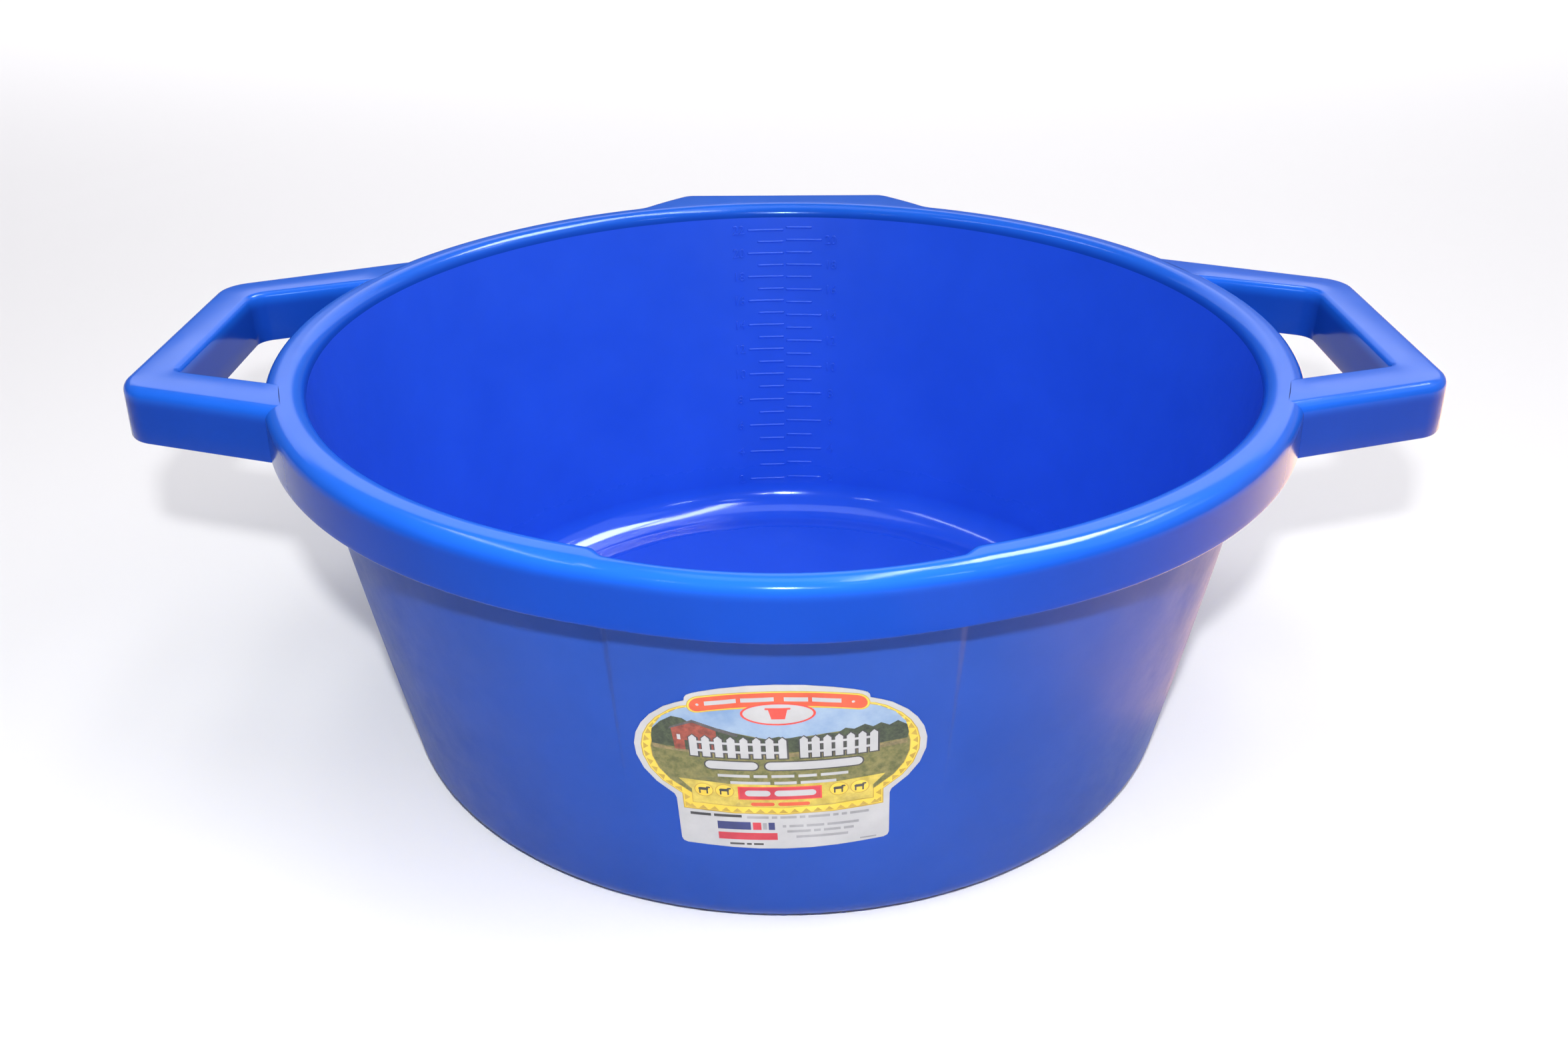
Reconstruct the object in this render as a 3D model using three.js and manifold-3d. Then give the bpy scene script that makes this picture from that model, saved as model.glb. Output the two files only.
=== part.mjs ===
// A round feed pan with two loop handles, in millimetres, +Z up.
// The origin is on the pan's own axis, in the plane of its foot. The pouring spout faces -Y, so the
// graduations are on the inside of the wall at +Y, and the handles reach out along X.
//
// The real pan is one injection moulding with one stuck-on label. The moulding is divided here along its
// own feature lines into floor, foot ring, wall, rim, rear grip and two handles, with a joint gap between
// neighbours.

import * as THREE from 'three';
import { mergeVertices } from 'three/addons/utils/BufferGeometryUtils.js';
import Module from 'manifold-3d';

// ---- Driving dimensions ----------------------------------------------------------------------------

// Bowl
const HEIGHT = 188; // foot to the top of the rim
const BASE_RADIUS = 185; // outside of the wall, carried down to the foot's plane
const TOP_RADIUS = 216.7; // outside of the wall, carried up to the top of the rim
const BELLY = 1; // how far the wall bows outwards at half height
const SKIN = 3; // thickness of the moulding
const OUTER_CORNER = 14; // fillet from the foot to the wall
const INNER_CORNER = 20; // fillet from the floor to the wall, inside
const FOOT_STEP = 1.5; // how far the floor is raised inside the foot ring
const FOOT_WIDTH = 19; // width of the foot ring's flat
const FLOOR_RAMP = 6; // width of the slope inside, from the fillet up to the raised floor
const FOOT_SEAM = 150; // radius where the floor ends and the foot ring begins
const FILLET_END = -84; // degrees: where the inner fillet runs out into the ramp
const GATE_PAD = 22; // radius of the flat pad in the middle of the underside

// Rim: a flange turned down into a skirt
const RIM_RADIUS = 230;
const SKIRT_DEPTH = 23.2;
const SKIRT_FLARE = 0.4; // how far the skirt leans out by its lower edge
const RIM_EDGE = 5; // rounding of the rim's outer edge
const LIP_EDGE = 3; // rounding of the rim's inner edge
const RIM_BEVEL = 1; // bevel in the corners under the flange

// Pouring spout: a channel pressed into the front of the wall, widest at the lip
const SPOUT_FLAT = THREE.MathUtils.degToRad(15.2); // half angle of the channel
const SPOUT_SIDE = THREE.MathUtils.degToRad(17.9); // half angle where its sides have died out
const SPOUT_BOW_RADIUS = 149; // the lip's curve inside the spout
const SPOUT_REACH = 10; // how far the lip moves out in the middle
const SPOUT_SWELL = 2.5; // how far the skirt swells out in the middle
const SPOUT_FOOT = 60; // height where the channel has died out

// Rear grip: a straight-edged tab on the rim
const REAR_GRIP_REACH = 242; // pan axis to the tab's straight edge
const REAR_GRIP_HALF = [61, 86]; // half width at the straight edge, and where it meets the rim
const REAR_GRIP_CORNER = 9;
const REAR_GRIP_TAIL = 40; // how far the tab's outline is carried in under the rim

// Handles, given for the one at +X: [x, y] corners of the loop and of its finger gap
const HANDLE_DEPTH = 25;
const HANDLE_EDGE = 4.5; // rounding of its upper edges
const HANDLE_LOOP = [[200, -92.5], [284.5, -64.5], [284.5, 72], [200, 110]];
const HANDLE_GAP = [[205, -62.5], [263, -44.5], [263, 55], [205, 78]];
const LOOP_CORNER = 19;
const GAP_CORNERS = [5, 5, 9, 5];

// Graduations: raised ticks, quarts on one side and litres on the other
const QUART = 946352.9; // cubic millimetres
const LITRE = 1e6;
const QUART_MARKS = [2, 22];
const LITRE_MARKS = [2, 21];
const LONG_TICK = 21.5;
const SHORT_TICK = 15.5;
const TICK = 1.3; // height of a tick on the wall
const TICK_RELIEF = 0.4;
const TICK_ROOT = 1.6; // how deep a tick's block is set in the wall
const TICK_START = 0.7; // from the scale's centre line

// Label: a die-cut sticker on the front of the wall, as [across, height] from its middle
const LABEL_THICKNESS = 0.3;
const LABEL_HEIGHT = 90; // height of its middle above the foot
const LABEL_SHIFT = -1.45; // sideways, from the middle of the spout
const LABEL_TURN = THREE.MathUtils.degToRad(2); // its left side is stuck on lower
const LABEL_TAB = { half: 32.7, foot: 36.3, shoulder: 40.2, top: 46.4, corner: 2.4 };
// the oval is widest from level to level, and is drawn in to the tab and the block by two control points
const LABEL_OVAL = { half: 54.5, levels: [20, 8, -3], shoulder: [46, 31], hip: [47.5, -10] };
const LABEL_BLOCK = { half: 40.4, top: -15.2, foot: -42.1, middle: -43.3, corner: 3 };

// Facets and cutting tools
const GAP = 0.3; // left between neighbouring solids
const RING_STEPS = 96; // facets round the wall and rim
const FLOOR_STEPS = 72; // facets round the floor and foot ring
const WALL_LEVELS = [SPOUT_FOOT, 100, 135, 162]; // heights where the wall's facets meet
const FILLET_STEPS = 4;
const CORNER_STEPS = 4;
const EDGE_STEPS = 3;
const LABEL_STEPS = 5;
const OVERCUT = 5; // how far a cutting tool passes what it cuts
const CUTTER_SPAN = 900; // wider than the whole pan
const FILL_STEP = 0.25; // thickness of the slices in which the bowl's volume is added up

// ---- Worked out from them --------------------------------------------------------------------------

const WALL_SLOPE = (TOP_RADIUS - BASE_RADIUS) / HEIGHT;
const SLANT = Math.hypot(1, WALL_SLOPE);
const FLOOR_TOP = SKIN + FOOT_STEP;
const WALL_SEAM = 21; // the foot ring ends and the wall begins here, just above the fillets
const RIM_SEAM = HEIGHT - 4; // the wall ends just under the flange
const SKIRT_BOTTOM = HEIGHT - SKIRT_DEPTH;
const HANDLE_BOTTOM = HEIGHT - HANDLE_DEPTH;

const outerRadius = (z) => BASE_RADIUS + WALL_SLOPE * z + (4 * BELLY * z * (HEIGHT - z)) / HEIGHT ** 2;
const innerRadius = (z) => outerRadius(z) - SKIN * SLANT;
const azimuthOf = (x, y) => Math.atan2(x, -y); // 0 at the spout

// ---- Helpers ---------------------------------------------------------------------------------------

const wasm = await Module();
wasm.setup();

/** Points [r, z] on an arc about [r0, z0], with angles in degrees from +r towards +z. */
function arc(r0, z0, radius, from, to, steps) {
  return Array.from({ length: steps + 1 }, (_, i) => {
    const a = THREE.MathUtils.degToRad(from + ((to - from) * i) / steps);
    return [r0 + radius * Math.cos(a), z0 + radius * Math.sin(a)];
  });
}

/** Turns a profile of [r, z] points about the pan's axis. Its outer side runs upwards. */
function lathe(profile, steps) {
  const points = profile.map(([r, z]) => new THREE.Vector2(r, z));
  return new THREE.LatheGeometry(points, steps).rotateX(Math.PI / 2);
}

/** Moves every point of a geometry along its own radius by shift(azimuth, radius, height). */
function shiftRadially(geometry, shift) {
  const position = geometry.attributes.position;
  for (let i = 0; i < position.count; i++) {
    const [x, y, z] = [position.getX(i), position.getY(i), position.getZ(i)];
    const radius = Math.hypot(x, y);
    const scale = (radius + shift(azimuthOf(x, y), radius, z)) / radius;
    position.setXY(i, x * scale, y * scale);
  }
  return geometry;
}

/** Moves each edge of an anticlockwise polygon inwards by a distance. */
function insetPolygon(points, distance) {
  const edges = points.map(([x, y], i) => {
    const [nx, ny] = points[(i + 1) % points.length];
    const length = Math.hypot(nx - x, ny - y);
    const normal = [-(ny - y) / length, (nx - x) / length];
    return { normal, offset: normal[0] * x + normal[1] * y + distance };
  });
  return edges.map((edge, i) => {
    const before = edges[(i + edges.length - 1) % edges.length];
    const [a, b, c, d] = [...before.normal, ...edge.normal];
    const det = a * d - b * c;
    return [(before.offset * d - b * edge.offset) / det, (a * edge.offset - before.offset * c) / det];
  });
}

/** A shape with rounded corners; radii is one radius for all corners, or one for each. */
function roundedShape(points, radii) {
  const shape = new THREE.Shape();
  points.forEach(([x, y], i) => {
    const corner = new THREE.Vector2(x, y);
    const before = new THREE.Vector2(...points[(i + points.length - 1) % points.length]).sub(corner);
    const after = new THREE.Vector2(...points[(i + 1) % points.length]).sub(corner);
    const turn = Math.abs(before.angle() - after.angle());
    const opening = Math.min(turn, 2 * Math.PI - turn) / 2;
    const reach = (Array.isArray(radii) ? radii[i] : radii) / Math.tan(opening);
    const from = before.setLength(reach).add(corner);
    const to = after.setLength(reach).add(corner);
    if (i === 0) shape.moveTo(from.x, from.y);
    else shape.lineTo(from.x, from.y);
    shape.quadraticCurveTo(x, y, to.x, to.y);
  });
  shape.closePath();
  return shape;
}

/** A shape pulled up from z = bottom to z = top. */
function prism(shape, bottom, top) {
  const options = { depth: top - bottom, curveSegments: CORNER_STEPS, bevelEnabled: false };
  return new THREE.ExtrudeGeometry(shape, options).translate(0, 0, bottom);
}

/** The same with its upper edge rounded. Its lower end is rounded too, below z = bottom. */
function roundedPrism(shape, bottom, top, edge) {
  const options = {
    depth: top - edge - bottom,
    curveSegments: CORNER_STEPS,
    bevelSegments: EDGE_STEPS,
    bevelThickness: edge,
    bevelSize: edge,
    bevelOffset: -edge,
  };
  return new THREE.ExtrudeGeometry(shape, options).translate(0, 0, bottom);
}

/** The manifold solid of a closed geometry. */
function solid(geometry) {
  const bare = geometry.clone();
  bare.deleteAttribute('normal');
  bare.deleteAttribute('uv');
  const merged = mergeVertices(bare, 1e-4);
  return new wasm.Manifold(new wasm.Mesh({
    numProp: 3,
    vertProperties: new Float32Array(merged.attributes.position.array),
    triVerts: new Uint32Array(merged.index.array),
  }));
}

/** The geometry of a manifold solid. */
function geometryOf(manifold) {
  const mesh = manifold.getMesh();
  const geometry = new THREE.BufferGeometry();
  geometry.setAttribute('position', new THREE.BufferAttribute(mesh.vertProperties, 3));
  geometry.setIndex(new THREE.BufferAttribute(mesh.triVerts, 1));
  geometry.computeVertexNormals();
  return geometry;
}

// ---- The spout's effect on the wall and rim --------------------------------------------------------

/** How far the lip lies outside its plain circle at an azimuth. */
function lipShift(azimuth) {
  const lip = TOP_RADIUS + SPOUT_REACH;
  const centre = lip - SPOUT_BOW_RADIUS;
  const bowed = centre * Math.cos(azimuth)
    + Math.sqrt(SPOUT_BOW_RADIUS ** 2 - (centre * Math.sin(azimuth)) ** 2);
  const side = 1 - THREE.MathUtils.smoothstep(Math.abs(azimuth), SPOUT_FLAT, SPOUT_SIDE);
  return side > 0 ? (bowed - TOP_RADIUS) * side : 0;
}

/** How much of that shift the wall still has at a height. */
const spoutFade = (z) => THREE.MathUtils.clamp((z - SPOUT_FOOT) / (HEIGHT - SPOUT_FOOT), 0, 1) ** 2;

const wallShift = (azimuth, radius, z) => lipShift(azimuth) * spoutFade(z);

/** The skirt's gentle swell in front of the spout. */
function skirtShift(azimuth) {
  const across = Math.min(Math.abs(azimuth) / SPOUT_SIDE, 1);
  return SPOUT_SWELL * Math.cos((across * Math.PI) / 2) ** 2;
}

/** The rim's inner edge follows the wall, its skirt follows the swell, and the flange spans the two. */
function rimShift(azimuth, radius, z) {
  const start = TOP_RADIUS + RIM_BEVEL;
  const outwards = THREE.MathUtils.clamp((radius - start) / (RIM_RADIUS - RIM_EDGE - start), 0, 1);
  return THREE.MathUtils.lerp(wallShift(azimuth, radius, z), skirtShift(azimuth), outwards);
}

// ---- The moulding ----------------------------------------------------------------------------------

/** The radius of the bowl's inside at a height, its bottom fillet included. */
function bowlRadius(z) {
  const below = SKIN + INNER_CORNER - z;
  const filletTop = SKIN + INNER_CORNER * (1 - WALL_SLOPE / SLANT);
  if (z > filletTop) return innerRadius(z);
  return innerFilletCentre() + Math.sqrt(INNER_CORNER ** 2 - below ** 2);
}

function innerFilletCentre() {
  const z = SKIN + INNER_CORNER;
  return innerRadius(z) - INNER_CORNER * SLANT;
}

/** The flat middle of the floor, raised inside the foot ring, with the gate's pad under it. */
function panFloor() {
  const edge = FOOT_SEAM - GAP;
  const profile = [
    [0, 0],
    [GATE_PAD, 0],
    [GATE_PAD + FOOT_STEP, FOOT_STEP],
    [edge, FOOT_STEP],
    [edge, FLOOR_TOP],
    [0, FLOOR_TOP],
  ];
  return lathe(profile, FLOOR_STEPS);
}

/** The ring the pan stands on, with the rounded corner that carries it up to the wall. */
function footRing() {
  const tilt = THREE.MathUtils.radToDeg(Math.atan(WALL_SLOPE));
  const outside = outerRadius(OUTER_CORNER) - OUTER_CORNER * SLANT;
  const inside = innerFilletCentre();
  const footInner = outside - FOOT_WIDTH;
  const profile = [
    [FOOT_SEAM, FOOT_STEP],
    [footInner - FOOT_STEP, FOOT_STEP],
    [footInner, 0],
    ...arc(outside, OUTER_CORNER, OUTER_CORNER, -90, -tilt, FILLET_STEPS),
    [outerRadius(WALL_SEAM), WALL_SEAM],
    [innerRadius(WALL_SEAM), WALL_SEAM],
    ...arc(inside, SKIN + INNER_CORNER, INNER_CORNER, -tilt, FILLET_END, FILLET_STEPS),
    [inside - FLOOR_RAMP, FLOOR_TOP],
    [FOOT_SEAM, FLOOR_TOP],
  ];
  return lathe([...profile, profile[0]], FLOOR_STEPS);
}

/** The height at which the bowl holds a volume. */
function fillHeight(volume) {
  let held = 0;
  let z = FLOOR_TOP;
  while (held < volume) {
    held += Math.PI * bowlRadius(z + FILL_STEP / 2) ** 2 * FILL_STEP;
    z += FILL_STEP;
  }
  return z;
}

/** One side of the scale: a tick at every unit, longer at the even ones. */
function ticks(unit, [first, last], side) {
  const bars = [];
  for (let count = first; count <= last; count++) {
    const z = fillHeight(count * unit);
    const length = count % 2 ? SHORT_TICK : LONG_TICK;
    const depth = TICK_RELIEF + TICK_ROOT;
    const middle = side * (TICK_START + length / 2);
    const face = Math.sqrt((innerRadius(z) - TICK_RELIEF) ** 2 - middle ** 2);
    const bar = new THREE.BoxGeometry(length, depth, TICK).rotateZ(-Math.asin(middle / innerRadius(z)));
    bars.push(bar.translate(middle, face + depth / 2, z));
  }
  return bars;
}

function panWall() {
  const levels = [WALL_SEAM + GAP, ...WALL_LEVELS, RIM_SEAM - GAP];
  const outside = levels.map((z) => [outerRadius(z), z]);
  const inside = [...levels].reverse().map((z) => [innerRadius(z), z]);
  const ring = shiftRadially(lathe([...outside, ...inside, outside[0]], RING_STEPS), wallShift);
  const bars = [...ticks(QUART, QUART_MARKS, -1), ...ticks(LITRE, LITRE_MARKS, 1)];
  return geometryOf(bars.reduce((wall, bar) => wall.add(solid(bar)), solid(ring)));
}

/** The rim's outer side from the skirt's lower edge to the flat top, moved outwards by a clearance. */
function rimOutside(clearance) {
  const edge = RIM_EDGE + clearance;
  return [
    [RIM_RADIUS + SKIRT_FLARE + clearance, SKIRT_BOTTOM - clearance],
    ...arc(RIM_RADIUS - RIM_EDGE, HEIGHT - RIM_EDGE, edge, 0, 90, FILLET_STEPS),
  ];
}

function rim() {
  const under = HEIGHT - SKIN;
  const hollow = RIM_RADIUS - SKIN;
  const profile = [
    [innerRadius(RIM_SEAM), RIM_SEAM],
    [outerRadius(RIM_SEAM), RIM_SEAM],
    [outerRadius(RIM_SEAM) + RIM_BEVEL, under],
    [hollow - RIM_BEVEL, under],
    [hollow, under - RIM_BEVEL],
    [hollow + SKIRT_FLARE, SKIRT_BOTTOM],
    ...rimOutside(0),
    ...arc(innerRadius(HEIGHT) + LIP_EDGE, HEIGHT - LIP_EDGE, LIP_EDGE, 90, 180, EDGE_STEPS),
  ];
  return shiftRadially(lathe([...profile, profile[0]], RING_STEPS), rimShift);
}

/** The rim with its joint gap, filled in across the middle, for cutting what is joined to its skirt. */
function rimCutter() {
  const outside = rimOutside(GAP);
  const bottom = SKIRT_BOTTOM - HANDLE_DEPTH;
  const profile = [[0, bottom], [outside[0][0], bottom], ...outside, [0, HEIGHT + GAP]];
  return solid(lathe(profile, RING_STEPS));
}

/** A hollow, open-bottomed channel under an outline, with an optional opening through it. */
function channel(outline, corner, depth, opening = null, openingCorners = []) {
  const bottom = HEIGHT - depth;
  const slab = solid(roundedPrism(roundedShape(outline, corner), bottom, HEIGHT, HANDLE_EDGE));
  const below = new THREE.BoxGeometry(CUTTER_SPAN, CUTTER_SPAN, depth).translate(0, 0, bottom - depth / 2);
  const inside = roundedShape(insetPolygon(outline, SKIN), corner - SKIN);
  let hollow = solid(prism(inside, bottom - OVERCUT, HEIGHT - SKIN));
  let body = slab.subtract(solid(below));
  if (opening) {
    const sleeve = roundedShape(insetPolygon(opening, -SKIN), openingCorners.map((radius) => radius + SKIN));
    hollow = hollow.subtract(solid(prism(sleeve, bottom - 2 * OVERCUT, HEIGHT + OVERCUT)));
    const hole = prism(roundedShape(opening, openingCorners), bottom - OVERCUT, HEIGHT + OVERCUT);
    body = body.subtract(solid(hole));
  }
  return body.subtract(hollow);
}

/** A loop handle on the side that sign gives, cut to fit against the rim. */
function handle(sign) {
  const loop = channel(HANDLE_LOOP, LOOP_CORNER, HANDLE_DEPTH, HANDLE_GAP, GAP_CORNERS)
    .subtract(rimCutter());
  return geometryOf(sign > 0 ? loop : loop.mirror([1, 0, 0]));
}

function rearGrip() {
  const [straight, root] = REAR_GRIP_HALF;
  const rootY = Math.sqrt(RIM_RADIUS ** 2 - root ** 2);
  const tail = rootY - REAR_GRIP_TAIL;
  const outline = [[-root, tail], [root, tail], [root, rootY], [straight, REAR_GRIP_REACH],
    [-straight, REAR_GRIP_REACH], [-root, rootY]];
  return geometryOf(channel(outline, REAR_GRIP_CORNER, SKIRT_DEPTH).subtract(rimCutter()));
}

// ---- The label -------------------------------------------------------------------------------------

/** The sticker's outline: an oval with an arched tab on top and a block below, alike on both sides. */
function labelShape() {
  const { half, levels, shoulder, hip } = LABEL_OVAL;
  const tab = LABEL_TAB;
  const block = LABEL_BLOCK;
  const path = new THREE.Path();
  path.moveTo(0, tab.top);
  path.quadraticCurveTo(tab.half / 2, tab.top, tab.half - tab.corner, tab.shoulder);
  path.quadraticCurveTo(tab.half, tab.shoulder - tab.corner / 2, tab.half, tab.shoulder - tab.corner);
  path.lineTo(tab.half, tab.foot);
  path.bezierCurveTo(...shoulder, half, levels[0], half, levels[1]);
  path.bezierCurveTo(half, levels[2], ...hip, block.half, block.top);
  path.lineTo(block.half, block.foot + block.corner);
  path.quadraticCurveTo(block.half, block.foot, block.half - block.corner, block.foot);
  path.quadraticCurveTo(block.half / 2, block.middle, 0, block.middle);
  const right = path.getPoints(LABEL_STEPS);
  const left = right.slice(1, -1).reverse().map(({ x, y }) => new THREE.Vector2(-x, y));
  return new THREE.Shape([...right, ...left]);
}

/** A thin skin laid on the outside of the wall and cut out to the label's outline. */
function label() {
  const levels = [WALL_SEAM, ...WALL_LEVELS];
  const skin = (clearance) => levels.map((z) => [outerRadius(z) + clearance, z]);
  const outside = skin(GAP + LABEL_THICKNESS);
  const ring = lathe([...outside, ...skin(GAP).reverse(), outside[0]], RING_STEPS);
  const cutter = prism(labelShape(), 0, TOP_RADIUS + SPOUT_REACH + OVERCUT);
  cutter.rotateZ(LABEL_TURN).rotateX(Math.PI / 2).translate(LABEL_SHIFT, 0, LABEL_HEIGHT);
  return geometryOf(solid(shiftRadially(ring, wallShift)).intersect(solid(cutter)));
}

// ---- Assembly --------------------------------------------------------------------------------------

function piece(name, geometry, color, roughness) {
  const material = new THREE.MeshStandardMaterial({ color, roughness, metalness: 0 });
  const mesh = new THREE.Mesh(geometry, material);
  mesh.name = name;
  return mesh;
}

const pan = new THREE.Group();
pan.name = 'feed_pan';
pan.add(piece('pan_floor', panFloor(), 0x214adb, 0.3));
pan.add(piece('foot_ring', footRing(), 0x214adb, 0.3));
pan.add(piece('pan_wall', panWall(), 0x214adb, 0.3));
pan.add(piece('rim', rim(), 0x2a5ce0, 0.25));
pan.add(piece('rear_grip', rearGrip(), 0x2a5ce0, 0.25));
pan.add(piece('right_handle', handle(1), 0x3a5ad0, 0.3));
pan.add(piece('left_handle', handle(-1), 0x3a5ad0, 0.3));
pan.add(piece('front_label', label(), 0xf2f2ee, 0.4));

export default pan;
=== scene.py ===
"""A blue feed pan with two loop handles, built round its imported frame.

Metres in Blender; lengths here are in millimetres and pass through MM. +Z is up, and the pan's pouring
spout faces -Y. An azimuth is measured about the pan's axis from the spout, towards +X, in degrees.
"""

import math

import bmesh
import bpy
import numpy as np
from mathutils import Matrix, Vector
from mathutils.geometry import delaunay_2d_cdt


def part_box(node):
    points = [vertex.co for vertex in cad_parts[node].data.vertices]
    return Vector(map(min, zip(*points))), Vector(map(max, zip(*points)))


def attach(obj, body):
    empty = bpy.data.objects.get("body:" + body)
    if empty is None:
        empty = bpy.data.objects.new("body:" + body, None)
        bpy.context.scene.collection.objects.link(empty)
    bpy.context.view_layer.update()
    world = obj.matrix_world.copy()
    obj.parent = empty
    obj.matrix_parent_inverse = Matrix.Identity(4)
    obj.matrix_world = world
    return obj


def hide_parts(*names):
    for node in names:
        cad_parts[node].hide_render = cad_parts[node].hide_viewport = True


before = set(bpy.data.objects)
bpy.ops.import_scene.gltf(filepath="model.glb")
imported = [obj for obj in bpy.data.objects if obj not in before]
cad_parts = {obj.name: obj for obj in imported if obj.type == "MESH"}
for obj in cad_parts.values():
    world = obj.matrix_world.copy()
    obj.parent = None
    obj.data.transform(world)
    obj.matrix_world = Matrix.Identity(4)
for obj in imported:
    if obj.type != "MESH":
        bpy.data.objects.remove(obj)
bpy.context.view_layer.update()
MM = 0.001


def box_mm(node):
    """A CAD node's lowest and highest corners, in millimetres."""
    low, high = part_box(node)
    return low / MM, high / MM


# ---- Dimensions ----

rim_low, rim_high = box_mm("rim")
wall_high = box_mm("pan_wall")[1]
foot_high = box_mm("foot_ring")[1]
floor_high = box_mm("pan_floor")[1]
grip_high = box_mm("rear_grip")[1]
handle_low, handle_high = box_mm("right_handle")

HEIGHT = rim_high.z
SKIRT_BOTTOM = rim_low.z
HANDLE_BOTTOM = handle_low.z
SKIN = 3.0  # thickness of the moulding
BELLY = 0.75  # how far the wall bows outwards half way up
OUTER_CORNER = 14.0
INNER_CORNER = 20.0
FILLET_END = -84  # degrees: where the inner fillet runs out into the floor's ramp
FLOOR_TOP = floor_high.z
FOOT_RECESS = FLOOR_TOP - SKIN
FOOT_WIDTH = 19.0
FOOT_FLAT = 8.0  # where the foot's flat is split, in from its outer edge
FLOOR_RAMP = 13.0
FLOOR_RINGS = (148, 130, 90, 50, 20, 0)  # radii of the floor's rings, outermost first
RECESS_RING = 90  # radius of the ring in the recess
GATE_PAD = 22.0
WITNESS = 9.0  # radius of the ring left by the gate, in the middle of the pad
WITNESS_DEPTH = 0.35
STEP_RUN = (1.3, 2.0)  # how far a step in the underside runs before and after its upper break
BREAK = 0.5  # half width of a broken edge
BREAK_DEPTH = 0.2
SKIRT_FLARE = 0.4
RIM_RADIUS = rim_high.x - SKIRT_FLARE
RIM_EDGE = 7.0
LIP_EDGE = 6.5
SPOUT_EDGE_LOSS = 3.5  # how much less the lip is rounded in the middle of the spout
SPOUT_FOOT = 60.0  # height where the spout's channel runs out
SEAM_DROP = 0.5  # how far below the lip's rounding the wall enters the rim
RIM_SEAM = HEIGHT - LIP_EDGE - SEAM_DROP
WALL_ROWS = ((20, SPOUT_FOOT, 6), (66, RIM_SEAM, 22))  # the wall's rings: lowest, highest, count
SKIRT_LIP = 1.2  # rounding of the skirt's lower edge, outside
SKIRT_INNER_LIP = 0.6
CHANNEL_CORNER = 2.0  # rounding inside the rim's channel, under the skirt's shoulder
ROOT_CORNER = 0.9  # the same, where the flange meets the wall
ROOT_DROP = 2.5
TONGUE = 0.7  # how far the wall steps in where it enters the rim
TONGUE_HEIGHT = 2

SPOUT_SIDE = 17.9  # degrees: where the spout's sides have died out
SPOUT_SIDE_WIDTH = 2.2  # degrees, at the lip
SPOUT_SIDE_FOOT = 0.35  # degrees, where the channel runs out
SPOUT_BOW_RADIUS = 149.0
SPOUT_REACH = 10.0
SPOUT_SWELL = 2.5

GRIP_REACH = grip_high.y - SKIRT_FLARE
GRIP_HALF = (61.0, 86.0)
GRIP_CORNERS = (14.0, 16.0)  # rounding at the straight edge's ends, and at the roots
GRIP_LEAD = 8  # degrees of the rim's circle that lead into the grip

HANDLE_REACH = handle_high.x
GRIP_WIDTH = 21.5
HANDLE_LOOP = [(200, -92.5), (HANDLE_REACH, -64.5), (HANDLE_REACH, 72), (200, 110)]
GAP_REACH = HANDLE_REACH - GRIP_WIDTH
HANDLE_GAP = [(205, -62.5), (GAP_REACH, -44.5), (GAP_REACH, 55), (205, 78)]
LOOP_CORNERS = (19.0, 19.0)
GAP_CORNERS = (5.0, 9.0)
HANDLE_EDGES = (4.5, 3.0)  # rounding of its upper edges, outside and round the finger gap
HANDLE_DRAFT = 0.6  # how far its sides lean in by the top
HANDLE_LIP = 1.0  # rounding of its lower edges
LIP_STEPS = ((1, 0), (0.3, 0.3), (0.02, 1))  # the rounding's points, as shares of it: (inset, height)
HOLLOW_LIP = ((0.8, 0), (0.2, 0.3))  # the same inside its channel, as (short of the skin, height)
HOLLOW_CORNER = 1.5  # rounding of the channel's ceiling
HOLLOW_ROOM = 2  # left between the channel's sides and its ceiling
SIDE_ROWS = (0.35, 0.7, 1.0)  # rows up its sides, as shares of their height
FIFTHS = (0.2, 0.4, 0.6, 0.8)
RIM_BITE = 0.5  # how far a handle's sides run into the rim
FLUSH = 0.3  # how close to the top a handle stops at the rim's surface instead

wall_slope = (wall_high.x - foot_high.x) / (wall_high.z - foot_high.z)
slant = math.hypot(1, wall_slope)
wall_tilt = math.degrees(math.atan(wall_slope))


def outer_radius(z):
    """Radius of the bowl's outside at a height, away from the spout."""
    t = (z - foot_high.z) / (wall_high.z - foot_high.z)
    return foot_high.x + wall_slope * (z - foot_high.z) + 4 * BELLY * max(t, 0) * (1 - t)


def inner_radius(z):
    """Radius of the bowl's inside at a height, away from the spout."""
    return outer_radius(z) - SKIN * slant


# ---- Mesh helpers ----


def smoothstep(t):
    """Eases from 0 to 1 as t does."""
    t = min(max(t, 0), 1)
    return t * t * (3 - 2 * t)


def arc(r0, z0, radius, start, end, steps):
    """Points (r, z) on an arc about (r0, z0), with angles in degrees from +r towards +z."""
    angles = np.radians(np.linspace(start, end, steps + 1))
    return [(r0 + radius * math.cos(a), z0 + radius * math.sin(a)) for a in angles]


def line(start, end, steps):
    """Points from start to end, both included."""
    start, end = np.array(start), np.array(end)
    return [tuple(start + (end - start) * i / steps) for i in range(steps + 1)]


def show(name, mesh, sharp_angle):
    """Puts a mesh in the scene smooth-shaded, with edges sharper than an angle in degrees kept sharp."""
    mesh.shade_smooth()
    mesh.set_sharp_from_angle(angle=math.radians(sharp_angle))
    obj = bpy.data.objects.new(name, mesh)
    bpy.context.scene.collection.objects.link(obj)
    return obj


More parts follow.
